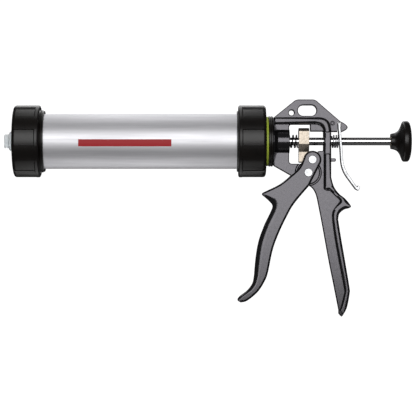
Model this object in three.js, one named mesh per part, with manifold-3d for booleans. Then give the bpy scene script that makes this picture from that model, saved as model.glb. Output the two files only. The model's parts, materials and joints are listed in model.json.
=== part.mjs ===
// A caulking gun with a closed aluminium barrel, a cast frame, a trigger, a gripping dog and a release lever.
// Millimetres, +Z up. The barrel runs along X and the knob is at +X. In this file x = 0 is the casting's
// flange face and z = 0 the barrel's axis; the finished group is moved so that its box is centred.
import * as THREE from 'three';
import * as BufferGeometryUtils from 'three/addons/utils/BufferGeometryUtils.js';
import Module from 'manifold-3d';

const wasm = await Module();
wasm.setup();

// Barrel and its two ring nuts
const TUBE_LENGTH = 237;
const TUBE_OUTER_R = 27.5;
const TUBE_WALL = 2;
const COLLAR_WALL = 3.5;
const COLLAR_LENGTH = 22.6;
const CAP_WALL = 4.5;
const CAP_END_WALL = 4;
const CAP_FRONT_WALL = 3;
const FRONT_CAP_LENGTH = 26.4;
const REAR_CAP_LENGTH = 27.6;
const CAP_LUGS = 7;
const CAP_LUG_SHARE = 0.49;
const CAP_LUG_HEIGHT = 1.4;
const CAP_RIM = 4;
const GASKET = 2;
const NOZZLE_TIP_R = 6.8;
const NOZZLE_BORE_R = 5;
const NOZZLE_REACH = 9.8;
const NOZZLE_FLANGE = 2.5;
const NOZZLE_NECK_R = 12;
const NOZZLE_STUB = 4.7;

// Swivel joint between the barrel and the casting
const SPIGOT_R = 14;
const SPIGOT_LENGTH = 26;
const PLATE_DISC_R = 25.2;
const PLATE_DISC = 4.3;
const FRICTION_RING_R = 24.7;
const FRICTION_RING = 2.2;
const WASHER = 2.4;
const WASHER_R = 22;
const RETAINING_NUT = 9;
const RETAINING_NUT_R = 21.5;

// Plunger
const ROD_R = 4;
const PISTON_START = 37.5;
const ROD_BACK = 131;
const PISTON_NUT = 6.5;
const PISTON_NUT_R = 7.4;
const PISTON_DISC = 3;
const PISTON_CUP = 9;
const PISTON_CUP_FLOOR = 4;
const PISTON_FIT = 0.4;
const KNOB_FACE = 117.5;
const KNOB_R = 20.3;
const KNOB_LENGTH = 21.1;
const KNOB_NECK_R = 7.8;
const INSERT_WALL = 2.4;

// Casting
const WEB = 9;
const RIB = 19;
const GUIDE_BOSS = 23;
const BUSH_WALL = 1.9;
const FRONT_BOSS_R = 12.4;
const FRONT_BOSS_LENGTH = 16.5;
const SPRING_SEAT_DEPTH = 7.5;
const SPRING_SEAT_ROOM = 0.9;
const STRUT_FRONT_X = 50.3;
const STRUT_BACK_X = 58;
const WINDOW_FRONT_X = 16.8;
const WINDOW_TOP_Z = 16.7;
const WINDOW_BOTTOM_Z = -22.4;
const PIVOT_BOSS_R = 13;
const HANG_SLOT = { x: 34.1, z: 30.7, length: 18.5, height: 10.5 };
const HANG_HOLE = { x: 18.4, z: 28.4, r: 2.6 };
const LEVER_SLOT_ROOM = { front: 0.3, back: 1.4, top: 0.7 };

// Trigger, its pins and the dog that it pushes
const PIVOT = { x: 35.1, z: -31.3 };
const PUSH = { x: 39.2, z: -18.4 };
const PIN_R = 3;
const PIN_HEAD_STEP = 1.2;
const PIN_SEAT_DEPTH = 1;
const PIN_SEAT_ROOM = 0.6;
const PIN_BUSH_WALL = 1.05;
const PIN_HEAD = 1.5;
const PIN_SWEEP_ROOM = 1.9;
const TRIGGER_CHEEK = 4.6;
const TRIGGER_HEAD_R = 9;
const PIVOT_BOSS_FACE = 0.5;
const FORK_CLEARANCE = 0.4;
const FORK_REACH = 23;
const TRIGGER_SWING = 26 * Math.PI / 180;
const DOG_LENGTH = 10.4;
const DOG_WIDTH = 18;
const DOG_TOP = 13.2;
const DOG_LEG_WIDTH = 8;
const DOG_LEG_BOTTOM = -21.3;

// Springs and release lever
const WIRE_R = 0.75;
const SPRING_CLEARANCE = 1.35;
const RETURN_TURNS = 4;
const LEVER_TURNS = 2.5;
const LEVER_PLATE = 2.2;
const LEVER_HOLE_ROOM = 0.75;
const LEVER_WIDTH = 16;
const LEVER_TOP = { x: 65.6, z: 18.3 };
const LEVER_SPRING_LENGTH = 7.7;

// Fits
const GAP = 0.2;
const RUNNING = 0.2;
const THREAD = 0.3;
const PIN_FIT = 0.15;

const FINE = 28;
const COARSE = 16;
const MEDIUM = 20;

// ---------- solids ----------

function weld(geometry) {
  const bare = geometry.index ? geometry.toNonIndexed() : geometry.clone();
  for (const name of Object.keys(bare.attributes)) {
    if (name !== 'position') bare.deleteAttribute(name);
  }
  const merged = BufferGeometryUtils.mergeVertices(bare, 1e-4);
  const place = merged.attributes.position;
  const corner = [new THREE.Vector3(), new THREE.Vector3(), new THREE.Vector3()];
  const kept = [];
  let volume = 0;
  for (let i = 0; i < merged.index.count; i += 3) {
    const ids = [0, 1, 2].map((k) => merged.index.getX(i + k));
    if (ids[0] === ids[1] || ids[1] === ids[2] || ids[0] === ids[2]) continue;
    ids.forEach((id, k) => corner[k].fromBufferAttribute(place, id));
    volume += corner[0].dot(corner[1].clone().cross(corner[2]));
    kept.push(ids);
  }
  const turned = volume < 0 ? kept.map(([a, b, c]) => [a, c, b]) : kept;
  return new wasm.Manifold(new wasm.Mesh({
    numProp: 3,
    vertProperties: new Float32Array(place.array),
    triVerts: new Uint32Array(turned.flat()),
  }));
}

function toGeometry(manifold) {
  const mesh = manifold.getMesh();
  const geometry = new THREE.BufferGeometry();
  geometry.setAttribute('position', new THREE.BufferAttribute(new Float32Array(mesh.vertProperties), 3));
  geometry.setIndex(new THREE.BufferAttribute(new Uint32Array(mesh.triVerts), 1));
  geometry.computeVertexNormals();
  return geometry;
}

function unite(...solids) {
  return solids.reduce((a, b) => a.add(b));
}

// A ring or shaft turned about the X axis; the profile's points are [x, radius].
function turned(profile, segments = FINE) {
  const points = profile.map(([x, r]) => new THREE.Vector2(r, x));
  const geometry = new THREE.LatheGeometry(points, segments);
  geometry.rotateZ(-Math.PI / 2);
  return weld(geometry);
}

function ring(x0, x1, inner, outer, segments = FINE) {
  return turned([[x0, inner], [x0, outer], [x1, outer], [x1, inner], [x0, inner]], segments);
}

function shaft(x0, x1, r, segments = COARSE) {
  return turned([[x0, 0], [x0, r], [x1, r], [x1, 0]], segments);
}

// A shaft or ring along Y, standing at (x, z); the profile's points are [y, radius].
function turnedAcross(at, profile, segments = COARSE) {
  const points = profile.map(([y, r]) => new THREE.Vector2(r, y));
  const geometry = new THREE.LatheGeometry(points, segments);
  geometry.translate(at.x, 0, at.z);
  return weld(geometry);
}

function shaftAcross(at, y0, y1, r, segments = COARSE) {
  return turnedAcross(at, [[y0, 0], [y0, r], [y1, r], [y1, 0]], segments);
}

// Points are [x, z] or [x, z, corner radius].
function outline(points, target = new THREE.Shape()) {
  const count = points.length;
  points.forEach(([x, z, r = 0], i) => {
    const before = points[(i + count - 1) % count];
    const after = points[(i + 1) % count];
    const toBefore = new THREE.Vector2(before[0] - x, before[1] - z);
    const toAfter = new THREE.Vector2(after[0] - x, after[1] - z);
    const inset = Math.min(r, toBefore.length() * 0.49, toAfter.length() * 0.49);
    const start = toBefore.setLength(inset).add(new THREE.Vector2(x, z));
    const end = toAfter.setLength(inset).add(new THREE.Vector2(x, z));
    if (i === 0) target.moveTo(start.x, start.y);
    else target.lineTo(start.x, start.y);
    if (inset > 0) target.quadraticCurveTo(x, z, end.x, end.y);
  });
  target.closePath();
  return target;
}

// A plate of the given width, centred on y = 0, from an outline in X and Z.
function plate(shape, width, bevel = 0, curveSegments = 3, bevelSegments = 2) {
  const geometry = new THREE.ExtrudeGeometry(shape, {
    depth: width - 2 * bevel,
    bevelEnabled: bevel > 0,
    bevelThickness: bevel,
    bevelSize: bevel,
    bevelOffset: -bevel,
    bevelSegments,
    curveSegments,
  });
  geometry.translate(0, 0, bevel - width / 2);
  geometry.rotateX(Math.PI / 2);
  return weld(geometry);
}

// A bar along X from an outline in Y and Z.
function bar(shape, x0, x1, bevel = 0, curveSegments = 3) {
  const geometry = new THREE.ExtrudeGeometry(shape, {
    depth: x1 - x0 - 2 * bevel,
    bevelEnabled: bevel > 0,
    bevelThickness: bevel,
    bevelSize: bevel,
    bevelOffset: -bevel,
    bevelSegments: 1,
    curveSegments,
  });
  geometry.translate(0, 0, x0 + bevel);
  geometry.applyMatrix4(new THREE.Matrix4().makeBasis(
    new THREE.Vector3(0, 1, 0), new THREE.Vector3(0, 0, 1), new THREE.Vector3(1, 0, 0)));
  return weld(geometry);
}

function box(x0, x1, width, z0, z1) {
  const geometry = new THREE.BoxGeometry(x1 - x0, width, z1 - z0);
  geometry.translate((x0 + x1) / 2, 0, (z0 + z1) / 2);
  return weld(geometry);
}

function hexNut(x0, x1, r, bore) {
  const shape = new THREE.Shape();
  for (let i = 0; i < 6; i += 1) {
    const angle = i * Math.PI / 3;
    if (i === 0) shape.moveTo(r, 0);
    else shape.lineTo(r * Math.cos(angle), r * Math.sin(angle));
  }
  shape.closePath();
  return bar(shape, x0, x1).subtract(shaft(x0 - 1, x1 + 1, bore));
}

function coil(x0, x1, turns) {
  const steps = Math.round(turns * 10);
  const points = [];
  for (let i = 0; i <= steps; i += 1) {
    const angle = i / steps * turns * 2 * Math.PI;
    const x = x0 + WIRE_R + (x1 - x0 - 2 * WIRE_R) * i / steps;
    points.push(new THREE.Vector3(x, springR * Math.sin(angle), springR * Math.cos(angle)));
  }
  const section = new THREE.Shape();
  section.absarc(0, 0, WIRE_R, 0, 2 * Math.PI);
  return weld(new THREE.ExtrudeGeometry(section, {
    steps,
    curveSegments: 5,
    extrudePath: new THREE.CatmullRomCurve3(points),
  }));
}

// ---------- the object ----------

const gun = new THREE.Group();

function add(name, solid, colour, roughness, metalness) {
  const material = new THREE.MeshStandardMaterial({ color: colour, roughness, metalness });
  const mesh = new THREE.Mesh(toGeometry(solid), material);
  mesh.name = name;
  gun.add(mesh);
}

const ALUMINIUM = [0xc4c6ca, 0.4, 0.9];
const STEEL = [0xb8babd, 0.3, 1];
const PAINT = [0x2a2b2e, 0.3, 0.2];
const BLACK_PLASTIC = [0x26231f, 0.55, 0];
const RUBBER = [0x1c1c1c, 0.8, 0];
const BRONZE = [0x9a7b3c, 0.4, 0.8];

// Stations along X, from the casting's flange forwards
const discFront = -GAP - PLATE_DISC;
const ringFront = discFront - GAP - FRICTION_RING;
const rearCapBack = ringFront - GAP;
const rearCapInner = rearCapBack - CAP_END_WALL;
const rearGasketFront = rearCapInner - GAP - GASKET;
const tubeBack = rearGasketFront - GAP;
const tubeFront = tubeBack - TUBE_LENGTH;
const frontGasketFront = tubeFront - GAP - GASKET;
const nozzleFlangeFront = frontGasketFront - GAP - NOZZLE_FLANGE;
const frontCapInner = nozzleFlangeFront - GAP;
const frontCapFront = frontCapInner - CAP_FRONT_WALL;
const rodFront = tubeFront + PISTON_START;
const tubeInnerR = TUBE_OUTER_R - TUBE_WALL;
const collarInnerR = TUBE_OUTER_R + GAP;
const collarOuterR = collarInnerR + COLLAR_WALL;
const capBoreR = collarOuterR + THREAD;
const capOuterR = capBoreR + CAP_WALL;

// Fits about the rod and the two pins
const rodBoreR = ROD_R + RUNNING;
const cupR = tubeInnerR - PISTON_FIT;
const bushR = ROD_R + BUSH_WALL;
const springR = ROD_R + SPRING_CLEARANCE + WIRE_R;
const pinHeadR = PIN_R + PIN_HEAD_STEP;
const pinBoreR = PIN_R + PIN_FIT;
const pivotBushR = pinBoreR + PIN_BUSH_WALL;
const pivotBossWidth = WEB + 2 * PIVOT_BOSS_FACE;
const forkGap = pivotBossWidth + 2 * FORK_CLEARANCE;
const triggerWidth = forkGap + 2 * TRIGGER_CHEEK;
const dogBack = PUSH.x - PIN_R - GAP;
const dogFront = dogBack - DOG_LENGTH;
const springSeatX = FRONT_BOSS_LENGTH - SPRING_SEAT_DEPTH;

function makeBarrel() {
  add('barrel_tube', ring(tubeFront, tubeBack, tubeInnerR, TUBE_OUTER_R), ...ALUMINIUM);
  const front = ring(tubeFront, tubeFront + COLLAR_LENGTH, collarInnerR, collarOuterR);
  add('front_collar', front, ...BLACK_PLASTIC);
  const rear = ring(tubeBack - COLLAR_LENGTH, tubeBack, collarInnerR, collarOuterR);
  add('rear_collar', rear, ...BLACK_PLASTIC);
  add('front_gasket', ring(frontGasketFront, tubeFront - GAP, tubeInnerR, collarOuterR - GAP), ...RUBBER);
  add('rear_gasket', ring(rearGasketFront, rearCapInner - GAP, tubeInnerR, collarOuterR - GAP), ...RUBBER);
}

// Grip lugs stand between recesses all round; a full rim closes the nut's open end.
function capShell(front, back, rimAtBack) {
  const shape = new THREE.Shape();
  const pitch = 2 * Math.PI / CAP_LUGS;
  const phase = -Math.PI / 2 + 0.37 - pitch;
  const low = capOuterR - CAP_LUG_HEIGHT;
  for (let i = 0; i < CAP_LUGS; i += 1) {
    const start = phase + i * pitch;
    const lugEnd = start + pitch * CAP_LUG_SHARE;
    const from = [capOuterR * Math.cos(start), capOuterR * Math.sin(start)];
    if (i === 0) shape.moveTo(...from);
    else shape.lineTo(...from);
    shape.absarc(0, 0, capOuterR, start, lugEnd);
    shape.lineTo(low * Math.cos(lugEnd), low * Math.sin(lugEnd));
    shape.absarc(0, 0, low, lugEnd, start + pitch);
  }
  shape.closePath();
  const lugs = bar(shape, front, back, 1.2, 3);
  const open = rimAtBack ? back : front;
  const inward = rimAtBack ? -1 : 1;
  const edge = CAP_RIM / 3;
  const rim = turned([
    [open, capBoreR], [open, capOuterR - edge], [open + inward * edge, capOuterR],
    [open + inward * CAP_RIM, capOuterR], [open + inward * CAP_RIM, capBoreR], [open, capBoreR],
  ]);
  return unite(lugs, rim);
}

function makeCaps() {
  const frontCapBack = frontCapFront + FRONT_CAP_LENGTH;
  const front = capShell(frontCapFront, frontCapBack, true)
    .subtract(shaft(frontCapInner, frontCapBack + 1, capBoreR, FINE))
    .subtract(shaft(frontCapFront - 1, frontCapInner + 1, NOZZLE_NECK_R + THREAD, FINE));
  add('front_cap', front, ...BLACK_PLASTIC);
  const rearCapFront = rearCapBack - REAR_CAP_LENGTH;
  const rear = capShell(rearCapFront, rearCapBack, false)
    .subtract(shaft(rearCapFront - 1, rearCapInner, capBoreR, FINE))
    .subtract(shaft(rearCapInner - 1, rearCapBack + 1, SPIGOT_R + THREAD, FINE));
  add('rear_cap', rear, ...BLACK_PLASTIC);
}

// The nozzle base is a thin shell: flange, cone and a short open stub.
function makeNozzle() {
  const tip = frontCapFront - NOZZLE_REACH;
  const stubBack = tip + NOZZLE_STUB;
  const flangeBack = nozzleFlangeFront + NOZZLE_FLANGE;
  const profile = [
    [tip, NOZZLE_BORE_R], [tip, NOZZLE_TIP_R], [stubBack, NOZZLE_TIP_R + 0.3],
    [stubBack + 0.6, NOZZLE_NECK_R - 3], [frontCapFront, NOZZLE_NECK_R], [nozzleFlangeFront, NOZZLE_NECK_R],
    [nozzleFlangeFront, collarOuterR - GAP], [flangeBack, collarOuterR - GAP],
    [flangeBack, NOZZLE_NECK_R + 6], [nozzleFlangeFront, NOZZLE_NECK_R - 2],
    [stubBack + 3, NOZZLE_NECK_R - 2.5], [stubBack + 1.5, NOZZLE_BORE_R], [tip, NOZZLE_BORE_R],
  ];
  add('nozzle', turned(profile), 0xe9ecee, 0.3, 0);
}

function makeSwivel() {
  const bore = SPIGOT_R + THREAD;
  add('adapter_disc', turned([
    [discFront, bore], [discFront, PLATE_DISC_R - 0.6], [discFront + 0.6, PLATE_DISC_R],
    [-GAP - 0.6, PLATE_DISC_R], [-GAP, PLATE_DISC_R - 0.6], [-GAP, bore], [discFront, bore],
  ]), ...BLACK_PLASTIC);
  add('friction_ring', ring(ringFront, ringFront + FRICTION_RING, bore, FRICTION_RING_R), 0xa5b43c, 0.5, 0);
  const washerBack = rearCapInner - GAP;
  const nutBack = washerBack - WASHER - GAP;
  add('swivel_washer', ring(washerBack - WASHER, washerBack, bore, WASHER_R), ...STEEL);
  const nut = hexNut(nutBack - RETAINING_NUT, nutBack, RETAINING_NUT_R, bore);
  add('retaining_nut', nut, ...STEEL);
}

// ---------- casting ----------

const TOP_EDGE = [[0.3, 23.8], [23.1, 41.8], [41.9, 41.8]];
const THUMB_REST = [
  [60.8, -45.5], [66.1, -52.6], [71.7, -57.1], [77.4, -64.2], [76.2, -66.6],
  [70.7, -68.3], [66.1, -72.3], [64.9, -78],
];
const PALM = [[67.8, -96.4], [71.8, -119.4], [76.2, -146], [76.3, -152], [74.1, -164.1], [71.8, -170.2]];
const GRIP_END = [[68.6, -175], [65.5, -172.2]];
const GRIP_FRONT = [[60.3, -142.3], [55.7, -119.4], [48.8, -81.5], [44.3, -58.5]];
const RIB_INNER = [
  [66.1, -168.7], [70.1, -153.8], [70.4, -145.5], [64.9, -117.1], [60.9, -94.1],
  [58.6, -74.6], [60.3, -67.7],
];

function vectors(points) {
  return points.map(([x, z]) => new THREE.Vector2(x, z));
}

function backEdge(shape) {
  shape.lineTo(STRUT_BACK_X, -36);
  shape.splineThru(vectors(THUMB_REST));
  shape.splineThru(vectors(PALM));
}

function castingWeb() {
  const shape = new THREE.Shape();
  shape.moveTo(TOP_EDGE[0][0], TOP_EDGE[0][1]);
  shape.lineTo(TOP_EDGE[1][0] - 2, TOP_EDGE[1][1] - 1.5);
  shape.quadraticCurveTo(TOP_EDGE[1][0], TOP_EDGE[1][1], TOP_EDGE[1][0] + 2.5, TOP_EDGE[1][1]);
  shape.lineTo(TOP_EDGE[2][0] - 2.5, TOP_EDGE[2][1]);
  shape.quadraticCurveTo(TOP_EDGE[2][0], TOP_EDGE[2][1], TOP_EDGE[2][0] + 2, TOP_EDGE[2][1] - 1.7);
  shape.lineTo(67.4, 19.8);
  shape.quadraticCurveTo(73.5, 17.2, 74.6, 14.2);
  shape.quadraticCurveTo(74.2, 11, 68.6, 9.3);
  shape.lineTo(STRUT_BACK_X, 9.3);
  backEdge(shape);
  shape.splineThru(vectors(GRIP_END));
  shape.lineTo(65.5, -168.7);
  shape.splineThru(vectors(GRIP_FRONT));
  shape.quadraticCurveTo(42.2, -47.2, 35.6, -44.2);
  shape.absarc(PIVOT.x, PIVOT.z, PIVOT_BOSS_R, -Math.PI / 2, -Math.PI * 0.75, true);
  shape.lineTo(17.3, -34.1);
  shape.lineTo(0.3, -24.6);
  shape.closePath();
  const slot = new THREE.Path();
  const half = HANG_SLOT.height / 2;
  const reach = HANG_SLOT.length / 2 - half;
  slot.absarc(HANG_SLOT.x - reach, HANG_SLOT.z, half, Math.PI / 2, Math.PI * 1.5);
  slot.absarc(HANG_SLOT.x + reach, HANG_SLOT.z, half, -Math.PI / 2, Math.PI / 2);
  slot.closePath();
  const hole = new THREE.Path();
  hole.absarc(HANG_HOLE.x, HANG_HOLE.z, HANG_HOLE.r, 0, 2 * Math.PI);
  shape.holes.push(slot, hole);
  return plate(shape, WEB, 0.5, 2, 1);
}

function castingRib() {
  const shape = new THREE.Shape();
  shape.moveTo(0.3, 24);
  shape.lineTo(STRUT_BACK_X - 13, 24);
  shape.quadraticCurveTo(STRUT_BACK_X, 24, STRUT_BACK_X, 10);
  backEdge(shape);
  shape.lineTo(69.2, -173.2);
  shape.lineTo(...RIB_INNER[0]);
  shape.splineThru(vectors(RIB_INNER.slice(1)));
  shape.lineTo(66, -60.4);
  shape.quadraticCurveTo(67, -59.2, 65.6, -58);
  shape.lineTo(57.4, -50.2);
  shape.quadraticCurveTo(56.6, -49.5, 55, -49.5);
  shape.quadraticCurveTo(49.6, -49.4, STRUT_FRONT_X, -44.6);
  shape.lineTo(STRUT_FRONT_X, WINDOW_TOP_Z - 9);
  shape.quadraticCurveTo(STRUT_FRONT_X, WINDOW_TOP_Z, STRUT_FRONT_X - 9, WINDOW_TOP_Z);
  shape.lineTo(0.3, WINDOW_TOP_Z);
  shape.closePath();
  return plate(shape, RIB, 0.9, 2, 1);
}

function pushPinSweep() {
  const arm = Math.hypot(PUSH.x - PIVOT.x, PUSH.z - PIVOT.z);
  const reach = PIN_R + PIN_SWEEP_ROOM;
  const spare = Math.asin(reach / arm);
  const start = Math.atan2(PUSH.z - PIVOT.z, PUSH.x - PIVOT.x) - spare;
  const end = start + TRIGGER_SWING + 2 * spare;
  const shape = new THREE.Shape();
  shape.absarc(PIVOT.x, PIVOT.z, arm + reach, start, end);
  shape.absarc(PIVOT.x, PIVOT.z, arm - reach, end, start, true);
  shape.closePath();
  return plate(shape, WEB + 4, 0, 8);
}

function makeCasting() {
  const flange = turned([
    [-SPIGOT_LENGTH, 0], [-SPIGOT_LENGTH, SPIGOT_R - 1], [-SPIGOT_LENGTH + 1, SPIGOT_R],
    [0, SPIGOT_R], [0, PLATE_DISC_R - 1], [0.6, PLATE_DISC_R - 1], [4, FRONT_BOSS_R],
    [FRONT_BOSS_LENGTH - 0.8, FRONT_BOSS_R], [FRONT_BOSS_LENGTH, FRONT_BOSS_R - 0.8], [FRONT_BOSS_LENGTH, 0],
  ]);
  const window = plate(outline([
    [WINDOW_FRONT_X, WINDOW_TOP_Z, 3], [37, WINDOW_TOP_Z, 1], [37, 9.7, 1], [STRUT_FRONT_X, 9.7, 1],
    [STRUT_FRONT_X, -9.6, 1], [44.4, -9.6, 3], [43.2, WINDOW_BOTTOM_Z, 2],
    [WINDOW_FRONT_X, WINDOW_BOTTOM_Z, 3],
  ]), WEB + 4);
  const side = GUIDE_BOSS / 2;
  const guide = bar(outline([
    [-side, -13.3, 2.5], [side, -13.3, 2.5], [side, 9.6, 2.5], [-side, 9.6, 2.5],
  ]), STRUT_FRONT_X + 0.5, STRUT_BACK_X - 0.4, 0.6);
  const boss = shaftAcross(PIVOT, -pivotBossWidth / 2, pivotBossWidth / 2, PIVOT_BOSS_R, FINE);
  const peg = plate(outline([[56, -16.9], [63, -16.9, 1.3], [63, -20.3, 1.3], [56, -20.3]]), 6, 0.4, 3, 1);
  const slotFront = LEVER_TOP.x - LEVER_PLATE / 2 - LEVER_SLOT_ROOM.front;
  const slotBack = LEVER_TOP.x + LEVER_PLATE / 2 + LEVER_SLOT_ROOM.back;
  const leverSlot = box(slotFront, slotBack, WEB + 4, 0, LEVER_TOP.z + LEVER_SLOT_ROOM.top);
  const bore = shaft(-SPIGOT_LENGTH - 1, STRUT_BACK_X + 2, bushR + THREAD, MEDIUM);
  const springSeat = shaft(springSeatX, FRONT_BOSS_LENGTH + 1, springR + WIRE_R + SPRING_SEAT_ROOM, MEDIUM);
  const pivotBore = shaftAcross(PIVOT, -WEB, WEB, pivotBushR + GAP);
  const web = castingWeb().add(boss).subtract(window);
  const casting = unite(web, castingRib(), flange, guide, peg)
    .subtract(leverSlot).subtract(bore).subtract(springSeat).subtract(pivotBore).subtract(pushPinSweep());
  add('frame_casting', casting, ...PAINT);
}

function makeBushes() {
  const front = ring(-SPIGOT_LENGTH + 1, springSeatX - 0.5, rodBoreR, bushR, MEDIUM);
  add('front_rod_bush', front, ...BRONZE);
  const rear = ring(STRUT_FRONT_X + 2 * GAP, STRUT_BACK_X - GAP, rodBoreR, bushR, MEDIUM);
  add('rear_rod_bush', rear, ...BRONZE);
  const half = pivotBossWidth / 2;
  const pivot = turnedAcross(PIVOT, [
    [-half, pinBoreR], [-half, pivotBushR], [half, pivotBushR], [half, pinBoreR], [-half, pinBoreR],
  ]);
  add('pivot_bush', pivot, ...BRONZE);
}

// ---------- plunger ----------

function makePlunger() {
  add('plunger_rod', turned([
    [rodFront, 0], [rodFront, ROD_R - 0.6], [rodFront + 0.6, ROD_R], [ROD_BACK - 0.6, ROD_R],
    [ROD_BACK, ROD_R - 0.6], [ROD_BACK, 0],
  ], MEDIUM), 0xd6d8da, 0.12, 1);
  let at = rodFront + 0.5;
  add('piston_nut', hexNut(at, at + PISTON_NUT, PISTON_NUT_R, rodBoreR), ...STEEL);
  at += PISTON_NUT + GAP;
  add('piston_disc', ring(at, at + PISTON_DISC, rodBoreR, tubeInnerR - 0.7), ...ALUMINIUM);
  at += PISTON_DISC + GAP;
  add('piston_cup', turned([
    [at, rodBoreR], [at, cupR - 1], [at + 1.5, cupR], [at + PISTON_CUP, cupR],
    [at + PISTON_CUP, cupR - 2], [at + PISTON_CUP_FLOOR, cupR - 3],
    [at + PISTON_CUP_FLOOR, rodBoreR], [at, rodBoreR],
  ]), 0xd8d2c4, 0.6, 0);
  at += PISTON_CUP_FLOOR + GAP;
  add('piston_backing', ring(at, at + PISTON_DISC, rodBoreR, tubeInnerR - 4.5), ...ALUMINIUM);
  at += PISTON_DISC + GAP;
  add('piston_back_nut', hexNut(at, at + PISTON_NUT, PISTON_NUT_R, rodBoreR), ...STEEL);
}

function makeKnob() {
  const insertR = rodBoreR + INSERT_WALL;
  const end = KNOB_FACE + KNOB_LENGTH;
  const body = turned([
    [KNOB_FACE, 0], [KNOB_FACE, KNOB_NECK_R - 0.8], [KNOB_FACE + 0.8, KNOB_NECK_R],
    [KNOB_FACE + 4.5, 8.9], [KNOB_FACE + 7.5, 11], [KNOB_FACE + 9.5, 14.4], [KNOB_FACE + 10.8, 17.4],
    [KNOB_FACE + 11.9, KNOB_R - 0.9], [KNOB_FACE + 13, KNOB_R], [KNOB_FACE + 16.4, KNOB_R],
    [KNOB_FACE + 17.8, KNOB_R - 0.6], [KNOB_FACE + 19, KNOB_R - 2.4], [KNOB_FACE + 20, KNOB_R - 6],
    [KNOB_FACE + 20.6, KNOB_R - 10.5], [end, 0],
  ], MEDIUM + 8).subtract(shaft(KNOB_FACE - 1, ROD_BACK + 0.5, insertR + GAP, MEDIUM));
  add('knob', body, ...BLACK_PLASTIC);
  add('knob_insert', ring(KNOB_FACE + 0.3, ROD_BACK - 0.5, rodBoreR, insertR, MEDIUM), 0xb08d45, 0.4, 0.8);
}

// ---------- drive ----------

function makeDog() {
  const half = DOG_WIDTH / 2;
  const leg = DOG_LEG_WIDTH / 2;
  const shape = outline([
    [-half, 10.2, 0.8], [-half, -3.3, 0.8], [-leg, -10.3, 0.6], [-leg, DOG_LEG_BOTTOM, 1],
    [leg, DOG_LEG_BOTTOM, 1], [leg, -10.3, 0.6], [half, -3.3, 0.8], [half, 10.2, 0.8],
    [half - 4, DOG_TOP, 0.8], [4 - half, DOG_TOP, 0.8],
  ]);
  const body = bar(shape, dogFront, dogBack, 0.5)
    .subtract(shaft(dogFront - 1, dogBack + 1, rodBoreR, MEDIUM));
  add('drive_dog', body, 0xd8c3a0, 0.45, 0.6);
  add('return_spring', coil(springSeatX + GAP, dogFront - GAP, RETURN_TURNS), 0x222222, 0.5, 0.6);
}

const TRIGGER_FRONT = [[25.9, -26.4], [16.7, -35], [6.5, -43], [-8.8, -50.5]];
const FINGER_EDGE = [
  [-3.6, -59.8], [-0.4, -64.4], [-2.2, -70.5], [-8.6, -83.8], [-14.3, -99.8],
  [-17.2, -115.9], [-18.9, -134.3],
];
const TRIGGER_TOE = [[-20.6, -142.2], [-25.8, -149.2], [-33.2, -154.9], [-35.4, -158.6], [-32.4, -160.8]];
const TRIGGER_BACK = [
  [-25.8, -159], [-15.4, -150.4], [-8.6, -140], [-5.1, -130.8], [-0.5, -109], [5.2, -92.9],
  [13.3, -75.7], [21.3, -61.9], [36.2, -44.2],
];

function makeTrigger() {
  const shape = new THREE.Shape();
  shape.absarc(PUSH.x, PUSH.z, TRIGGER_HEAD_R, -0.6, Math.PI * 0.93);
  shape.splineThru(vectors(TRIGGER_FRONT));
  shape.quadraticCurveTo(-12.8, -52.4, -9.6, -54.6);
  shape.splineThru(vectors(FINGER_EDGE));
  shape.splineThru(vectors(TRIGGER_TOE));
  shape.splineThru(vectors(TRIGGER_BACK));
  shape.closePath();
  const seat = triggerWidth / 2 - PIN_SEAT_DEPTH;
  let body = plate(shape, triggerWidth, 1, 2, 1)
    .subtract(shaftAcross(PIVOT, -forkGap / 2, forkGap / 2, FORK_REACH, FINE));
  for (const pin of [PIVOT, PUSH]) {
    body = body.subtract(shaftAcross(pin, -triggerWidth, triggerWidth, pinBoreR))
      .subtract(shaftAcross(pin, -triggerWidth, -seat, pinHeadR + PIN_SEAT_ROOM))
      .subtract(shaftAcross(pin, seat, triggerWidth, pinHeadR + PIN_SEAT_ROOM));
  }
  add('trigger', body, ...PAINT);
}

function makePins() {
  const face = triggerWidth / 2 - PIN_SEAT_DEPTH;
  const clipR = pinHeadR + 0.3;
  for (const [name, at] of [['pivot', PIVOT], ['push', PUSH]]) {
    add(`${name}_pin`, turnedAcross(at, [
      [-face - PIN_HEAD, 0], [-face - PIN_HEAD, pinHeadR - 0.5], [-face - PIN_HEAD + 0.5, pinHeadR],
      [-face - GAP, pinHeadR], [-face - GAP, PIN_R], [face + PIN_HEAD, PIN_R], [face + PIN_HEAD, 0],
    ], MEDIUM), ...STEEL);
    add(`${name}_pin_clip`, turnedAcross(at, [
      [face + GAP, PIN_R + 0.1], [face + GAP, clipR], [face + PIN_SEAT_DEPTH, clipR],
      [face + PIN_SEAT_DEPTH, PIN_R + 0.1], [face + GAP, PIN_R + 0.1],
    ], MEDIUM), ...STEEL);
  }
}

// ---------- release lever ----------

function makeLever() {
  const half = LEVER_PLATE / 2;
  const front = [
    [LEVER_TOP.x - half, LEVER_TOP.z, 0.4], [67.9 - half, -7, 4],
    [69 - half, -28.4, 8], [83.2 - half * 0.8, -48, 0.6],
  ];
  const back = [
    [85.2, -49.4, 0.5], [87, -45.2, 0.6], [84.6, -44, 0.6], [83.9, -46, 0.6], [69.1 + half, -26.5, 8],
    [68 + half, -7, 4], [LEVER_TOP.x + half, LEVER_TOP.z, 0.4],
  ];
  const blade = plate(outline([...front, ...back]), LEVER_WIDTH, 0, 4)
    .subtract(shaft(LEVER_TOP.x - 5, LEVER_TOP.x + 10, ROD_R + LEVER_HOLE_ROOM, MEDIUM));
  add('release_lever', blade, 0xc9ccd0, 0.3, 0.9);
  const seat = STRUT_BACK_X + 0.3;
  add('lever_spring', coil(seat, seat + LEVER_SPRING_LENGTH, LEVER_TURNS), 0x8a8a8c, 0.4, 0.9);
}

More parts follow.
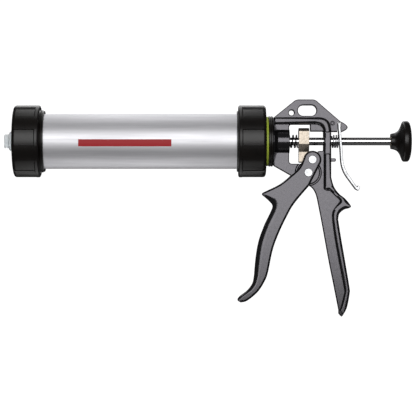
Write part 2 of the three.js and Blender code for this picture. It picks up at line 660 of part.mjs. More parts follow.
makeBarrel();
makeCaps();
makeNozzle();
makeSwivel();
makeCasting();
makeBushes();
makePlunger();
makeKnob();
makeDog();
makeTrigger();
makePins();
makeLever();

const gunBox = new THREE.Box3().setFromObject(gun);
gun.position.copy(gunBox.getCenter(new THREE.Vector3())).multiplyScalar(-1);
const assembly = new THREE.Group();
assembly.add(gun);

export default assembly;
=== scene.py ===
"""The looks of the caulking gun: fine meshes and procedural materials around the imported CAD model."""
import json
import math

import bmesh
import bpy
from mathutils import Matrix, Vector


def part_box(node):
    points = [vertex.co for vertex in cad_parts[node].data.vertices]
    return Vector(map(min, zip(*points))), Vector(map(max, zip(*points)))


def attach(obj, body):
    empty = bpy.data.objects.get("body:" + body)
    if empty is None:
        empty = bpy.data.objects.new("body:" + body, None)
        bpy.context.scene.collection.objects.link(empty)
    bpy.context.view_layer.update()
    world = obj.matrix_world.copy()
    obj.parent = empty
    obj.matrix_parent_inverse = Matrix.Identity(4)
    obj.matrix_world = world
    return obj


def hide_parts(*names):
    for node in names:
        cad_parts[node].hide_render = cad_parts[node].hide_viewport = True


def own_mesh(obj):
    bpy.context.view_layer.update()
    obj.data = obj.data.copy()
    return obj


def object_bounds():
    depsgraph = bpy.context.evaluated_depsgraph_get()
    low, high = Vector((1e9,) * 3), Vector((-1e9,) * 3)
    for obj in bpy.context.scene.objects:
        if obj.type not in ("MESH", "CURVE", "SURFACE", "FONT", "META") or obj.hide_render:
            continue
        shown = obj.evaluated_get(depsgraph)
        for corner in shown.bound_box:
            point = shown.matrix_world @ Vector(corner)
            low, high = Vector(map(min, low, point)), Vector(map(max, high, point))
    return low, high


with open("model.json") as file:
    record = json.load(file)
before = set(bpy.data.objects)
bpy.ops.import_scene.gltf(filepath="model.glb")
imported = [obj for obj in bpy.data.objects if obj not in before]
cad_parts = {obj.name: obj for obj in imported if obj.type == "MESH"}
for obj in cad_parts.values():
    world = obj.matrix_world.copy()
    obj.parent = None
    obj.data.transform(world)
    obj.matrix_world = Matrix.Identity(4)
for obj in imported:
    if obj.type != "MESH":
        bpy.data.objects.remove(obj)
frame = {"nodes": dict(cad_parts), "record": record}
cad_bounds = [list(corner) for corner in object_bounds()]

MM = 0.001
GAP = 0.2
MERGE_DISTANCE = 0.002 * MM
# The most a corner may take of the side beside it, and a rounded edge of the way to the middle line.
LARGEST_CORNER = 0.48
LARGEST_INSET = 0.85
# A radius below this is on the axis; a point less far inward than this isn't ahead of the edge.
NEARLY_ZERO = 1e-6
AHEAD = 1e-4
FLAT_WEIGHT = 80


def middle(node):
    """The middle of a node's box, in metres."""
    low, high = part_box(node)
    return (Vector(low) + Vector(high)) / 2


# The design's own origin: the casting's flange face, on the barrel's axis.
ORIGIN = Vector((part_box("adapter_disc")[1][0] + GAP * MM, 0, middle("plunger_rod").z))


def span(node):
    """A node's ends along X in millimetres from the design's origin."""
    low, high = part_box(node)
    return (low[0] - ORIGIN.x) / MM, (high[0] - ORIGIN.x) / MM


def radius(node):
    """A turned node's radius in millimetres."""
    low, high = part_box(node)
    return (high[2] - low[2]) / 2 / MM


def place(point):
    """A point in millimetres from the design's origin, in the scene's metres."""
    return ORIGIN + Vector(point) * MM


# ---------- meshes ----------

def new_object(name, verts, faces):
    """A mesh object with clean normals."""
    mesh = bpy.data.meshes.new(name)
    mesh.from_pydata([tuple(v) for v in verts], [], faces)
    mesh.validate()
    mesh.update()
    obj = bpy.data.objects.new(name, mesh)
    bpy.context.scene.collection.objects.link(obj)
    tidy_normals(obj)
    return obj


def tidy_normals(obj):
    """Merges doubled points and turns every face outwards."""
    work = bmesh.new()
    work.from_mesh(obj.data)
    bmesh.ops.remove_doubles(work, verts=work.verts, dist=MERGE_DISTANCE)
    bmesh.ops.dissolve_degenerate(work, edges=work.edges, dist=MERGE_DISTANCE)
    bmesh.ops.recalc_face_normals(work, faces=work.faces)
    work.to_mesh(obj.data)
    work.free()


def soften(points, closed=True, steps=5):
    """Corners [a, b, r] become short arcs; a corner without r stays sharp."""
    result = []
    count = len(points)
    for i, point in enumerate(points):
        here = Vector(point[:2])
        r = point[2] if len(point) > 2 else 0
        at_end = not closed and i in (0, count - 1)
        if r <= 0 or at_end:
            result.append(here)
            continue
        to_before = Vector(points[i - 1][:2]) - here
        to_after = Vector(points[(i + 1) % count][:2]) - here
        inset = min(r, to_before.length * LARGEST_CORNER, to_after.length * LARGEST_CORNER)
        start = here + to_before.normalized() * inset
        end = here + to_after.normalized() * inset
        for k in range(steps + 1):
            t = k / steps
            result.append(start * (1 - t) ** 2 + here * 2 * t * (1 - t) + end * t ** 2)
    return result


def walls(count, rows, closed=False):
    """Quads between neighbouring rows of count points; closed joins the last row to the first."""
    faces = []
    for i in range(rows if closed else rows - 1):
        j = (i + 1) % rows
        for k in range(count):
            n = (k + 1) % count
            faces.append([i * count + k, i * count + n, j * count + n, j * count + k])
    return faces


def end_faces(count, total):
    """The faces that close the first and the last row of a skin."""
    return [list(range(count)), list(range(total - 1, total - count - 1, -1))]


def lathe(name, profile, segments=128, closed=True, steps=5):
    """A turned piece about the barrel's axis; the profile is [x, radius, corner]."""
    points = soften(profile, closed, steps)
    verts = []
    faces = []
    rings = []
    for x, r in points:
        if r < NEARLY_ZERO:
            rings.append([len(verts)])
            verts.append(place((x, 0, 0)))
            continue
        rings.append(list(range(len(verts), len(verts) + segments)))
        for k in range(segments):
            angle = 2 * math.pi * k / segments
            verts.append(place((x, r * math.cos(angle), r * math.sin(angle))))
    pairs = list(zip(rings, rings[1:]))
    if closed:
        pairs.append((rings[-1], rings[0]))
    for a, b in pairs:
        for k in range(segments):
            n = (k + 1) % segments
            face = [a[k % len(a)], a[n % len(a)], b[n % len(b)], b[k % len(b)]]
            face = list(dict.fromkeys(face))
            if len(face) > 2:
                faces.append(face)
    return new_object(name, verts, faces)


def turn_across(obj, x, z):
    """Turns a piece made about the barrel's axis so that it stands along Y at (x, z)."""
    turn = Matrix.Rotation(math.radians(90), 4, "Z")
    move = Matrix.Translation(place((x, 0, z)))
    obj.data.transform(move @ turn @ Matrix.Translation(-ORIGIN))
    return obj


def through(points, per=6, begin=None):
    """A smooth line through the points, as a uniform Catmull-Rom spline."""
    knots = [Vector(p) for p in ([begin] if begin else []) + list(points)]
    result = []
    for i in range(len(knots) - 1):
        p1, p2 = knots[i], knots[i + 1]
        p0 = knots[i - 1] if i > 0 else p1
        p3 = knots[i + 2] if i + 2 < len(knots) else p2
        for k in range(1, per + 1):
            t = k / per
            result.append(0.5 * (
                2 * p1 + (p2 - p0) * t + (2 * p0 - 5 * p1 + 4 * p2 - p3) * t * t
                + (3 * p1 - p0 - 3 * p2 + p3) * t ** 3))
    return result


def arc(x, z, r, start, end, steps=24):
    """Points along an arc about (x, z), from angle start to angle end."""
    angles = [start + (end - start) * k / steps for k in range(steps + 1)]
    return [Vector((x + r * math.cos(angle), z + r * math.sin(angle))) for angle in angles]


def circle(x, z, r, count=24):
    """Points round a whole circle, the first not repeated."""
    return arc(x, z, r, 0, 2 * math.pi * (count - 1) / count, count - 1)


def plate(name, loops, width, bevel, rounds=4):
    """A flat plate in X and Z with rounded edges, centred on the middle plane; later loops are holes."""
    curve = bpy.data.curves.new(name + " outline", "CURVE")
    curve.dimensions = "2D"
    curve.fill_mode = "BOTH"
    curve.extrude = (width / 2 - bevel) * MM
    curve.bevel_depth = bevel * MM
    curve.offset = -bevel * MM
    curve.bevel_resolution = rounds
    for loop in loops:
        spline = curve.splines.new("POLY")
        spline.points.add(len(loop) - 1)
        for point, (x, z) in zip(spline.points, loop):
            point.co = (x * MM, z * MM, 0, 1)
        spline.use_cyclic_u = True
    helper = bpy.data.objects.new(name + " outline", curve)
    bpy.context.scene.collection.objects.link(helper)
    bpy.context.view_layer.update()
    mesh = bpy.data.meshes.new_from_object(helper.evaluated_get(bpy.context.evaluated_depsgraph_get()))
    bpy.data.objects.remove(helper)
    bpy.data.curves.remove(curve)
    mesh.transform(Matrix.Translation(ORIGIN) @ Matrix.Rotation(math.radians(90), 4, "X"))
    obj = bpy.data.objects.new(name, mesh)
    bpy.context.scene.collection.objects.link(obj)
    tidy_normals(obj)
    return obj


def pillow(name, outline, width, wanted, drop, rounds=6):
    """A plate with a rounded edge that drops by drop at the rim.

    wanted gives the edge's breadth at each point; it never goes past the shape's middle line.
    """
    loop = [Vector(p) for p in outline]
    count = len(loop)
    area = sum(a.x * b.y - b.x * a.y for a, b in zip(loop, loop[1:] + loop[:1]))
    side = 1 if area > 0 else -1
    inward = []
    for i, here in enumerate(loop):
        along = (here - loop[i - 1]).normalized() + (loop[(i + 1) % count] - here).normalized()
        along.normalize()
        inward.append(Vector((-along.y, along.x)) * side)
    insets = []
    for p, n, breadth in zip(loop, inward, wanted):
        room = math.inf
        for q in loop:
            gap = q - p
            if gap.dot(n) > AHEAD:
                room = min(room, gap.length_squared / (2 * gap.dot(n)))
        insets.append(min(breadth, LARGEST_INSET * room))
    half = width / 2
    levels = []
    for k in range(rounds + 1):
        turn = math.pi / 2 * k / rounds
        levels.append((1 - math.cos(turn), half - drop * (1 - math.sin(turn))))
    levels = [(share, -y) for share, y in reversed(levels)] + levels
    verts = []
    for share, y in levels:
        for p, n, inset in zip(loop, inward, insets):
            q = p + n * inset * share
            verts.append(place((q.x, y, q.y)))
    return new_object(name, verts, end_faces(count, len(verts)) + walls(count, len(levels)))


def combine(target, others, operation):
    """Joins or cuts with exact booleans, worked out in millimetres, and clears the tools away."""
    grow = Matrix.Scale(1 / MM, 4)
    target.data.transform(grow)
    for other in others:
        other.data.transform(grow)
        modifier = target.modifiers.new("cut", "BOOLEAN")
        modifier.operation = operation
        modifier.solver = "EXACT"
        modifier.object = other
        bpy.context.view_layer.update()
        result = bpy.data.meshes.new_from_object(target.evaluated_get(bpy.context.evaluated_depsgraph_get()))
        target.modifiers.clear()
        target.data = result
        bpy.data.objects.remove(other)
    target.data.transform(Matrix.Scale(MM, 4))
    tidy_normals(target)
    return target


def shaft(x0, x1, r, segments=64):
    """A cylinder about the barrel's axis, for cutting."""
    return lathe("tool", [[x0, 0], [x0, r], [x1, r], [x1, 0]], segments, closed=False)


def shaft_across(x, z, y0, y1, r, segments=64):
    """A cylinder across the gun at (x, z), for cutting."""
    return turn_across(shaft(y0, y1, r, segments), x, z)


def block(x0, x1, width, z0, z1):
    """A box centred on the middle plane, for cutting."""
    corners = [(x0, z0), (x1, z0), (x1, z1), (x0, z1)]
    verts = [place((x, y, z)) for y in (-width / 2, width / 2) for x, z in corners]
    faces = [[0, 1, 2, 3], [7, 6, 5, 4], [0, 4, 5, 1], [1, 5, 6, 2], [2, 6, 7, 3], [3, 7, 4, 0]]
    return new_object("tool", verts, faces)


def coil(name, x0, x1, mean_r, wire, turns, steps_per_turn=40, sides=12, flat_ends=0.8):
    """A round-wire compression spring about the barrel's axis with closed ends."""
    steps = int(turns * steps_per_turn)
    verts = []
    for i in range(steps + 1):
        share = i / steps
        eased = share * share * (3 - 2 * share) * flat_ends * 0.5 + share * (1 - flat_ends * 0.5)
        angle = share * turns * 2 * math.pi
        x = x0 + wire + (x1 - x0 - 2 * wire) * eased
        out = Vector((0, math.sin(angle), math.cos(angle)))
        for k in range(sides):
            around = 2 * math.pi * k / sides
            centre = Vector((x, 0, 0)) + out * mean_r
            along = Vector((wire * math.sin(around), 0, 0))
            verts.append(place(centre + out * wire * math.cos(around) + along))
    return new_object(name, verts, walls(sides, steps + 1) + end_faces(sides, len(verts)))


# ---------- materials ----------

# The colour sockets of Blender's Mix node.
MIX_FACTOR, MIX_FIRST, MIX_SECOND, MIX_RESULT = 0, 6, 7, 2
PRINT_RED = (0.52, 0.012, 0.02)


class Nodes:
    """A small helper that builds one procedural material."""

    def __init__(self, name):
        self.material = bpy.data.materials.new(name)
        self.material.use_nodes = True
        self.tree = self.material.node_tree
        self.shader = self.tree.nodes["Principled BSDF"]
        self.coords = self.tree.nodes.new("ShaderNodeTexCoord")

    def set(self, **values):
        """Uniform values, straight on the shader's sockets."""
        for key, value in values.items():
            self.shader.inputs[key.replace("_", " ")].default_value = value
        return self

    def stretched(self, scale):
        """Object coordinates, scaled along each axis."""
        mapping = self.tree.nodes.new("ShaderNodeMapping")
        mapping.inputs["Scale"].default_value = scale
        self.tree.links.new(self.coords.outputs["Object"], mapping.inputs["Vector"])
        return mapping.outputs["Vector"]

    def noise(self, scale, detail=3.0, rough=0.5, stretch=(1, 1, 1)):
        node = self.tree.nodes.new("ShaderNodeTexNoise")
        node.inputs["Scale"].default_value = scale
        node.inputs["Detail"].default_value = detail
        node.inputs["Roughness"].default_value = rough
        self.tree.links.new(self.stretched(stretch), node.inputs["Vector"])
        return node.outputs["Fac"]

    def ramp(self, value, low, high, out_low, out_high):
        """Maps low..high onto out_low..out_high."""
        node = self.tree.nodes.new("ShaderNodeMapRange")
        node.inputs["From Min"].default_value = low
        node.inputs["From Max"].default_value = high
        node.inputs["To Min"].default_value = out_low
        node.inputs["To Max"].default_value = out_high
        self.tree.links.new(value, node.inputs["Value"])
        return node.outputs["Result"]

    def blend(self, value, first, second):
        """The two colours mixed by value; a colour is three numbers or a socket."""
        node = self.tree.nodes.new("ShaderNodeMix")
        node.data_type = "RGBA"
        self.tree.links.new(value, node.inputs[MIX_FACTOR])
        for slot, colour in ((MIX_FIRST, first), (MIX_SECOND, second)):
            if isinstance(colour, tuple):
                node.inputs[slot].default_value = (*colour, 1)
            else:
                self.tree.links.new(colour, node.inputs[slot])
        return node.outputs[MIX_RESULT]

    def colour(self, value, first, second):
        self.tree.links.new(self.blend(value, first, second), self.shader.inputs["Base Color"])

    def roughness(self, value):
        self.tree.links.new(value, self.shader.inputs["Roughness"])

    def bump(self, value, strength, distance):
        node = self.tree.nodes.new("ShaderNodeBump")
        node.inputs["Strength"].default_value = strength
        node.inputs["Distance"].default_value = distance
        self.tree.links.new(value, node.inputs["Height"])
        self.tree.links.new(node.outputs["Normal"], self.shader.inputs["Normal"])


def aluminium():
    """Satin metal with faint lines drawn along the tube."""
    m = Nodes("satin anodised aluminium").set(Metallic=1.0)
    drawn = m.noise(900, 4, 0.6, (0.02, 1, 1))
    m.colour(m.ramp(drawn, 0.3, 0.7, 0, 1), (0.80, 0.795, 0.825), (0.87, 0.865, 0.895))
    m.roughness(m.ramp(m.noise(300, 3, 0.5, (0.05, 1, 1)), 0.3, 0.7, 0.52, 0.6))
    m.bump(drawn, 0.05, 0.0001)
    return m


def printed_bar(m, x0, x1, z0, z1):
    """A plain red bar printed on the tube's near side, as a mask over the metal; sizes in metres."""
    x_axis, y_axis, z_axis = range(3)
    part = m.tree.nodes.new("ShaderNodeSeparateXYZ")
    m.tree.links.new(m.coords.outputs["Object"], part.inputs["Vector"])
    mask = None
    tests = [
        (x_axis, "GREATER_THAN", x0), (x_axis, "LESS_THAN", x1),
        (z_axis, "GREATER_THAN", z0), (z_axis, "LESS_THAN", z1), (y_axis, "LESS_THAN", 0)]
    for axis, operation, limit in tests:
        test = m.tree.nodes.new("ShaderNodeMath")
        test.operation = operation
        test.inputs[1].default_value = limit
        m.tree.links.new(part.outputs[axis], test.inputs[0])
        if mask is None:
            mask = test.outputs[0]
            continue
        both = m.tree.nodes.new("ShaderNodeMath")
        both.operation = "MULTIPLY"
        m.tree.links.new(mask, both.inputs[0])
        m.tree.links.new(test.outputs[0], both.inputs[1])
        mask = both.outputs[0]
    metal_colour = m.shader.inputs["Base Color"].links[0].from_socket
    m.colour(mask, metal_colour, PRINT_RED)
    m.tree.links.new(m.ramp(mask, 0, 1, 1, 0), m.shader.inputs["Metallic"])
    return m.material


def black_plastic():
    m = Nodes("black moulded plastic").set(Specular_IOR_Level=0.38)
    grain = m.noise(1600, 3, 0.6)
    m.colour(m.ramp(m.noise(60), 0.35, 0.65, 0, 1), (0.004, 0.003, 0.0025), (0.008, 0.006, 0.005))
    m.roughness(m.ramp(grain, 0.3, 0.7, 0.26, 0.36))
    m.bump(grain, 0.12, 0.0002)
    return m.material


def paint():
    """Dark metallic powder coat with fine flecks."""
    m = Nodes("dark powder coat").set(Metallic=0.9)
    peel = m.noise(500, 2, 0.5)
    flecks = m.noise(2600, 4, 0.7)
    m.colour(m.ramp(flecks, 0.3, 0.7, 0, 1), (0.056, 0.054, 0.059), (0.094, 0.091, 0.098))
    m.roughness(m.ramp(peel, 0.3, 0.7, 0.14, 0.2))
    m.bump(peel, 0.05, 0.0001)
    return m.material


def metal(name, first, second, rough_low, rough_high, scale=500, stretch=(1, 1, 1), bump=0.03):
    m = Nodes(name).set(Metallic=1.0)
    grain = m.noise(scale, 4, 0.6, stretch)
    m.colour(m.ramp(grain, 0.3, 0.7, 0, 1), first, second)
    m.roughness(m.ramp(m.noise(scale * 0.4, 3, 0.5, stretch), 0.3, 0.7, rough_low, rough_high))
    m.bump(grain, bump, 0.0001)
    return m.material


def plastic(name, first, second, rough_low, rough_high, **values):
    m = Nodes(name).set(**values)
    grain = m.noise(700, 3, 0.5)
    m.colour(m.ramp(m.noise(80), 0.35, 0.65, 0, 1), first, second)
    m.roughness(m.ramp(grain, 0.3, 0.7, rough_low, rough_high))
    m.bump(grain, 0.05, 0.0002)
    return m.material


FINISH = {
    "aluminium_tube": aluminium().material,
    "black_plastic": black_plastic(),
    "black_paint": paint(),
    "chrome_rod": metal("hard chrome", (0.80, 0.80, 0.81), (0.88, 0.88, 0.89), 0.07, 0.12,
                        400, (0.05, 1, 1), 0.01),
    "zinc_steel": metal("bright zinc plating", (0.36, 0.365, 0.375), (0.46, 0.465, 0.475), 0.22, 0.34, 700),
    "dog_steel": metal("machined dog", (0.46, 0.40, 0.33), (0.60, 0.53, 0.45), 0.38, 0.5,
                       1400, (1, 0.2, 1), 0.08),
    "white_plastic": plastic("translucent nozzle", (0.90, 0.93, 0.95), (0.95, 0.97, 0.98), 0.35, 0.5,
                             Transmission_Weight=0.6, IOR=1.3),
    "lime_plastic": plastic("lime ring", (0.58, 0.74, 0.06), (0.66, 0.80, 0.09), 0.4, 0.5),
    "rubber": plastic("matt rubber", (0.018, 0.018, 0.018), (0.03, 0.03, 0.03), 0.7, 0.85),
    "cup_plastic": plastic("natural piston cup", (0.62, 0.58, 0.50), (0.70, 0.66, 0.58), 0.45, 0.55),
    "bronze": metal("sintered bronze", (0.36, 0.25, 0.12), (0.46, 0.33, 0.17), 0.35, 0.5, 900),
    "brass": metal("turned brass", (0.60, 0.44, 0.20), (0.70, 0.53, 0.27), 0.2, 0.3, 600),
    "spring_black": metal("blackened wire", (0.03, 0.03, 0.033), (0.06, 0.06, 0.065), 0.25, 0.4, 900),
    "spring_steel": metal("drawn wire", (0.42, 0.42, 0.44), (0.55, 0.55, 0.57), 0.18, 0.3, 900),
}

SLOT_OF = {row["node"]: row["material_slot"] for row in frame["record"]["subparts"]}
BODY_OF = {node: body for body, nodes in frame["record"]["behaviour"]["bodies"].items() for node in nodes}


def stands_for(obj, node, angle=32, weighted=True):
    """Finishes a piece that replaces a CAD node: the material of its slot, smooth shading and its body."""
    slot = SLOT_OF[node]
    mesh = obj.data
    mesh.materials.clear()
    mesh.materials.append(FINISH[slot])
    for polygon in mesh.polygons:
        polygon.use_smooth = True
    mesh.set_sharp_from_angle(angle=math.radians(angle))
    if weighted:
        modifier = obj.modifiers.new("flat faces stay flat", "WEIGHTED_NORMAL")
        modifier.keep_sharp = True
        modifier.weight = FLAT_WEIGHT
    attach(obj, BODY_OF[node])
    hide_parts(node)
    return obj


# ---------- barrel, caps and nozzle ----------

TUBE_WALL = 2
# The printed bar's ends and edges, in metres from the design's origin.
BAR_X = (-0.193, -0.101)
BAR_Z = (-0.0058, 0.0012)
RIDGE_PITCH = 2.5
RIDGE_DEPTH = 0.9


def make_tube():
    """The barrel tube with its printed bar, and the ridged collars round its two ends."""
    x0, x1 = span("barrel_tube")
    outer = radius("barrel_tube")
    inner = outer - TUBE_WALL
    tube = lathe("tube", [
        [x0, inner, 0.3], [x0, outer, 0.4], [x1, outer, 0.4], [x1, inner, 0.3]], 160)
    stands_for(tube, "barrel_tube")
    ends = [ORIGIN.x + x for x in BAR_X]
    edges = [ORIGIN.z + z for z in BAR_Z]
    tube.data.materials[0] = printed_bar(aluminium(), *ends, *edges)
    for node in ("front_collar", "rear_collar"):
        a, b = span(node)
        r = radius(node)
        profile = [[a, outer + GAP], [a, r - 0.7, 0.5]]
        for k in range(int((b - a) / RIDGE_PITCH) - 1):
            x = a + RIDGE_PITCH * (k + 0.7)
            profile += [[x, r - RIDGE_DEPTH, 0.3], [x + RIDGE_PITCH * 0.3, r, 0.3]]
            profile += [[x + RIDGE_PITCH * 0.6, r, 0.3], [x + RIDGE_PITCH * 0.9, r - RIDGE_DEPTH, 0.3]]
        profile += [[b, r - 0.7, 0.5], [b, outer + GAP]]
        stands_for(lathe(node + "_ring", profile, 128, steps=2), node)


CAP_LUGS = 7
LUG_PITCH = 2 * math.pi / CAP_LUGS
LUG_PHASE = -math.pi / 2 + 0.37 - LUG_PITCH
# A lug's breadth and its flank's, as shares of the pitch.
LUG_SHARE = 0.49
FLANK_SHARE = 0.012
LUG_HEIGHT = 1.4
CAP_WALL = 4.5
RIM = 4
FRONT_FACE_WALL = 3.2
REAR_FACE_WALL = 4.0
FRONT_HOLE_R = 12.3
ADAPTER_R = 14.3


def lug_radius(angle, top, height):
    """The nut's outside: flat-topped lugs between recesses, with small flanks."""
    share = ((angle - LUG_PHASE) / LUG_PITCH) % 1.0
    rise = min(max(share / FLANK_SHARE, 0), 1)
    fall = min(max((LUG_SHARE + FLANK_SHARE - share) / FLANK_SHARE, 0), 1)
    return top - height * (1 - min(rise, fall))


def cap_angles(steps=8):
    """Angles round a ring nut, closer together at the lugs' flanks."""
    angles = []
    for i in range(CAP_LUGS):
        start = LUG_PHASE + i * LUG_PITCH
        marks = [0, FLANK_SHARE * 0.5, FLANK_SHARE]
        marks += [FLANK_SHARE + (LUG_SHARE - FLANK_SHARE) * k / steps for k in range(1, steps + 1)]
        marks += [LUG_SHARE + FLANK_SHARE * 0.5, LUG_SHARE + FLANK_SHARE]
        marks += [LUG_SHARE + FLANK_SHARE + (1 - LUG_SHARE - FLANK_SHARE) * k / steps for k in range(1, steps)]
        angles += [start + LUG_PITCH * m for m in marks]
    return angles


def make_cap(name, node, open_at_back, hole):
    """A ring nut with lugs round it, a plain rim at its open end and a holed closed face."""
    x0, x1 = span(node)
    top = radius(node)
    bore = top - CAP_WALL
    length = x1 - x0
    wall = FRONT_FACE_WALL if open_at_back else REAR_FACE_WALL
    # Distances from the closed face; the last number is how much of the lug's step shows there.
    outside = [[0, hole, 0], [0, top - 3.4, 0], [0.25, top - 2.2, 0.6]]
    outside += [[1.0, top - 0.9, 0.9], [2.2, top - 0.15, 1], [3.2, top, 1]]
    outside += [[length - RIM - 0.5, top, 1], [length - RIM - 0.1, top, 0.7], [length - RIM + 0.3, top, 0.0]]
    outside += [[length - 1.6, top, 0], [length - 0.9, top - 0.2, 0]]
    outside += [[length - 0.35, top - 0.7, 0], [length, top - 1.7, 0]]
    outside += [[length, bore + 0.6, 0], [length - 0.6, bore, 0], [wall, bore, 0], [wall, hole, 0]]
    angles = cap_angles()
    verts = []
    for distance, r, step in outside:
        x = x0 + distance if open_at_back else x1 - distance
        for angle in angles:
            here = r - (top - lug_radius(angle, top, LUG_HEIGHT)) * step
            verts.append(place((x, here * math.cos(angle), here * math.sin(angle))))
    faces = walls(len(angles), len(outside), closed=True)
    stands_for(new_object(name, verts, faces), node, angle=28)


NOZZLE_FLANGE = 2.5
NOZZLE_SHOULDER_R = 12


def make_nozzle():
    """The nozzle base: a stub, a shoulder through the front ring nut, and a flange behind it."""
    x0, x1 = span("nozzle")
    face = span("front_cap")[0]
    flange = x1 - NOZZLE_FLANGE
    edge = radius("nozzle")
    profile = [
        [x0, 5.0, 0.3], [x0, 6.8, 0.5], [x0 + 4.7, 7.1, 0.4], [x0 + 5.1, 9, 0.6],
        [face, NOZZLE_SHOULDER_R, 0.8], [flange, NOZZLE_SHOULDER_R, 0.5], [flange, edge, 0.5], [x1, edge, 0.5],
        [x1, 18, 0.4], [flange, 10, 0.8], [x0 + 7.7, 9.3, 0.8], [x0 + 6.2, 5, 0.6],
    ]
    stands_for(lathe("nozzle_base", profile, 96, steps=4), "nozzle")


def make_swivel():
    """The adapter disc with a fine groove, and the lime friction ring before it."""
    x0, x1 = span("adapter_disc")
    r = radius("adapter_disc")
    bore = ADAPTER_R
    disc = lathe("adapter", [
        [x0, bore], [x0, r, 0.7], [x0 + 1.7, r, 0.3], [x0 + 1.9, r - 0.5, 0.2], [x0 + 2.3, r - 0.5, 0.2],
        [x0 + 2.5, r, 0.3], [x1, r, 1.2], [x1, bore]], 128)
    stands_for(disc, "adapter_disc")
    x0, x1 = span("friction_ring")
    r = radius("friction_ring")
    stands_for(lathe("lime_ring", [[x0, bore], [x0, r, 0.6], [x1, r, 0.6], [x1, bore]], 128), "friction_ring")


# ---------- casting ----------

# Places are (x, z) in millimetres from the design's origin.
PIVOT = (35.1, -31.3)
PUSH = (39.2, -18.4)
TRIGGER_TRAVEL = math.radians(26)
STRUT_FRONT = 50.3
STRUT_BACK = 58.0
STRUT_FOOT = (STRUT_BACK, -36)
WINDOW_TOP = 16.7
WINDOW_LOW = -22.4
WINDOW_STEP = -9.6
WEB = 9.0
WEB_BEVEL = 1.05
WEB_TOP = 41.8
RIB = 19.0
RIB_TOP = 24
RIB_DROP = 3.2
FLANGE_R = 24.2
NECK_R = 12.4
BORE_R = 6.2
BUSH_SEAT_R = 7.75
PIVOT_BORE_R = 4.4
GUIDE_TOP = 9.6
GUIDE_LOW = -13.3
GUIDE_WIDTH = 23
CUT_PAST = 4
GROOVE_SIDES = 14
THUMB_REST = [
    (60.8, -45.5), (66.1, -52.6), (71.7, -57.1), (77.4, -64.2), (76.2, -66.6), (70.7, -68.3), (66.1, -72.3),
    (64.9, -78)]
PALM = [(67.8, -96.4), (71.8, -119.4), (76.2, -146), (76.3, -152), (74.1, -164.1), (71.8, -170.2)]
GRIP_END = [(68.6, -175), (65.5, -172.2)]
GRIP_FRONT = [(60.3, -142.3), (55.7, -119.4), (48.8, -81.5), (44.3, -58.5)]
RIB_INNER = [
    (66.1, -168.7), (70.1, -153.8), (70.4, -145.5), (64.9, -117.1), (60.9, -94.1), (58.6, -74.6), (60.3, -67.7)]


def bent(start, control, end, steps=10):
    """A bend from start, not included, to end, drawn towards control."""
    a, b, c = Vector(start), Vector(control), Vector(end)
    shares = [k / steps for k in range(1, steps + 1)]
    return [a * (1 - t) ** 2 + b * 2 * t * (1 - t) + c * t ** 2 for t in shares]


def back_edge():
    """The casting's back from the strut's foot, round the thumb rest and down the palm."""
    points = [Vector(STRUT_FOOT)]
    points += through(THUMB_REST, 8, STRUT_FOOT)
    points += through(PALM, 8, THUMB_REST[-1])
    return points


def web_outline():
    """The flat web: hanging plate, rod guide, grip and the round of the trigger's pivot."""
    points = [Vector((0.6, 23.8)), Vector((21.1, 40.3))]
    points += bent((21.1, 40.3), (23.1, WEB_TOP), (25.6, WEB_TOP), 5)
    points += [Vector((39.4, WEB_TOP))] + bent((39.4, WEB_TOP), (41.9, WEB_TOP), (43.9, 40.1), 5)
    points += [Vector((67.4, 19.8))] + bent((67.4, 19.8), (73.5, 17.2), (74.6, 14.2), 8)
    points += bent((74.6, 14.2), (74.2, 11), (68.6, 9.3), 8) + [Vector((STRUT_BACK, 9.3))]
    points += back_edge() + through(GRIP_END, 8, PALM[-1]) + [Vector((65.5, -168.7))]
    points += through(GRIP_FRONT, 8, (65.5, -168.7)) + bent(GRIP_FRONT[-1], (42.2, -47.2), (35.6, -44.2))
    points += arc(*PIVOT, 13, -math.pi / 2, -math.pi * 0.75, 10)
    points += [Vector((17.3, -34.1)), Vector((0.6, -24.6))]
    return points


def rib_outline():
    """The raised rib: along the top, down the strut and along the back of the grip."""
    points = [Vector((0.6, RIB_TOP)), Vector((STRUT_BACK - 13, RIB_TOP))]
    points += bent((STRUT_BACK - 13, RIB_TOP), (STRUT_BACK, RIB_TOP), (STRUT_BACK, 10), 16)
    points += back_edge() + [Vector((69.2, -173.2)), Vector(RIB_INNER[0])]
    points += through(RIB_INNER[1:], 8, RIB_INNER[0]) + [Vector((66, -60.4))]
    points += bent((66, -60.4), (67, -59.2), (65.6, -58), 5) + [Vector((57.4, -50.2))]
    points += bent((57.4, -50.2), (56.6, -49.5), (55, -49.5), 5)
    points += bent((55, -49.5), (49.6, -49.4), (STRUT_FRONT, -44.6), 8)
    points += [Vector((STRUT_FRONT, WINDOW_TOP - 9))]
    points += bent((STRUT_FRONT, WINDOW_TOP - 9), (STRUT_FRONT, WINDOW_TOP), (STRUT_FRONT - 9, WINDOW_TOP), 12)
    points += [Vector((0.6, WINDOW_TOP))]
    return points


def oblong(x, z, length, height):
    """A slot with round ends."""
    half = height / 2
    reach = length / 2 - half
    front = arc(x - reach, z, half, math.pi / 2, math.pi * 1.5)
    return front + arc(x + reach, z, half, -math.pi / 2, math.pi / 2)


def rib_edge(point):
    """The rib's rounded edge: broad in most places, narrow down the strut's back and at the grip's end."""
    at_back = point.x > STRUT_BACK - 3 and -44 < point.y < 8
    at_end = point.y < -166
    return 1.9 if at_back else 2.1 if at_end else 3.5


def groove(x, z, y, r, half):
    """Two round rings to cut a groove into each face of the plate at (x, z)."""
    angles = [2 * math.pi * k / GROOVE_SIDES for k in range(GROOVE_SIDES)]
    section = [[half * math.cos(a), r + half * math.sin(a)] for a in angles]
    rings = []
    for side in (-1, 1):
        ring = lathe("tool", section, 64)
        turn_across(ring, x, z)
        ring.data.transform(Matrix.Translation((0, side * y * MM, 0)))
        rings.append(ring)
    return rings


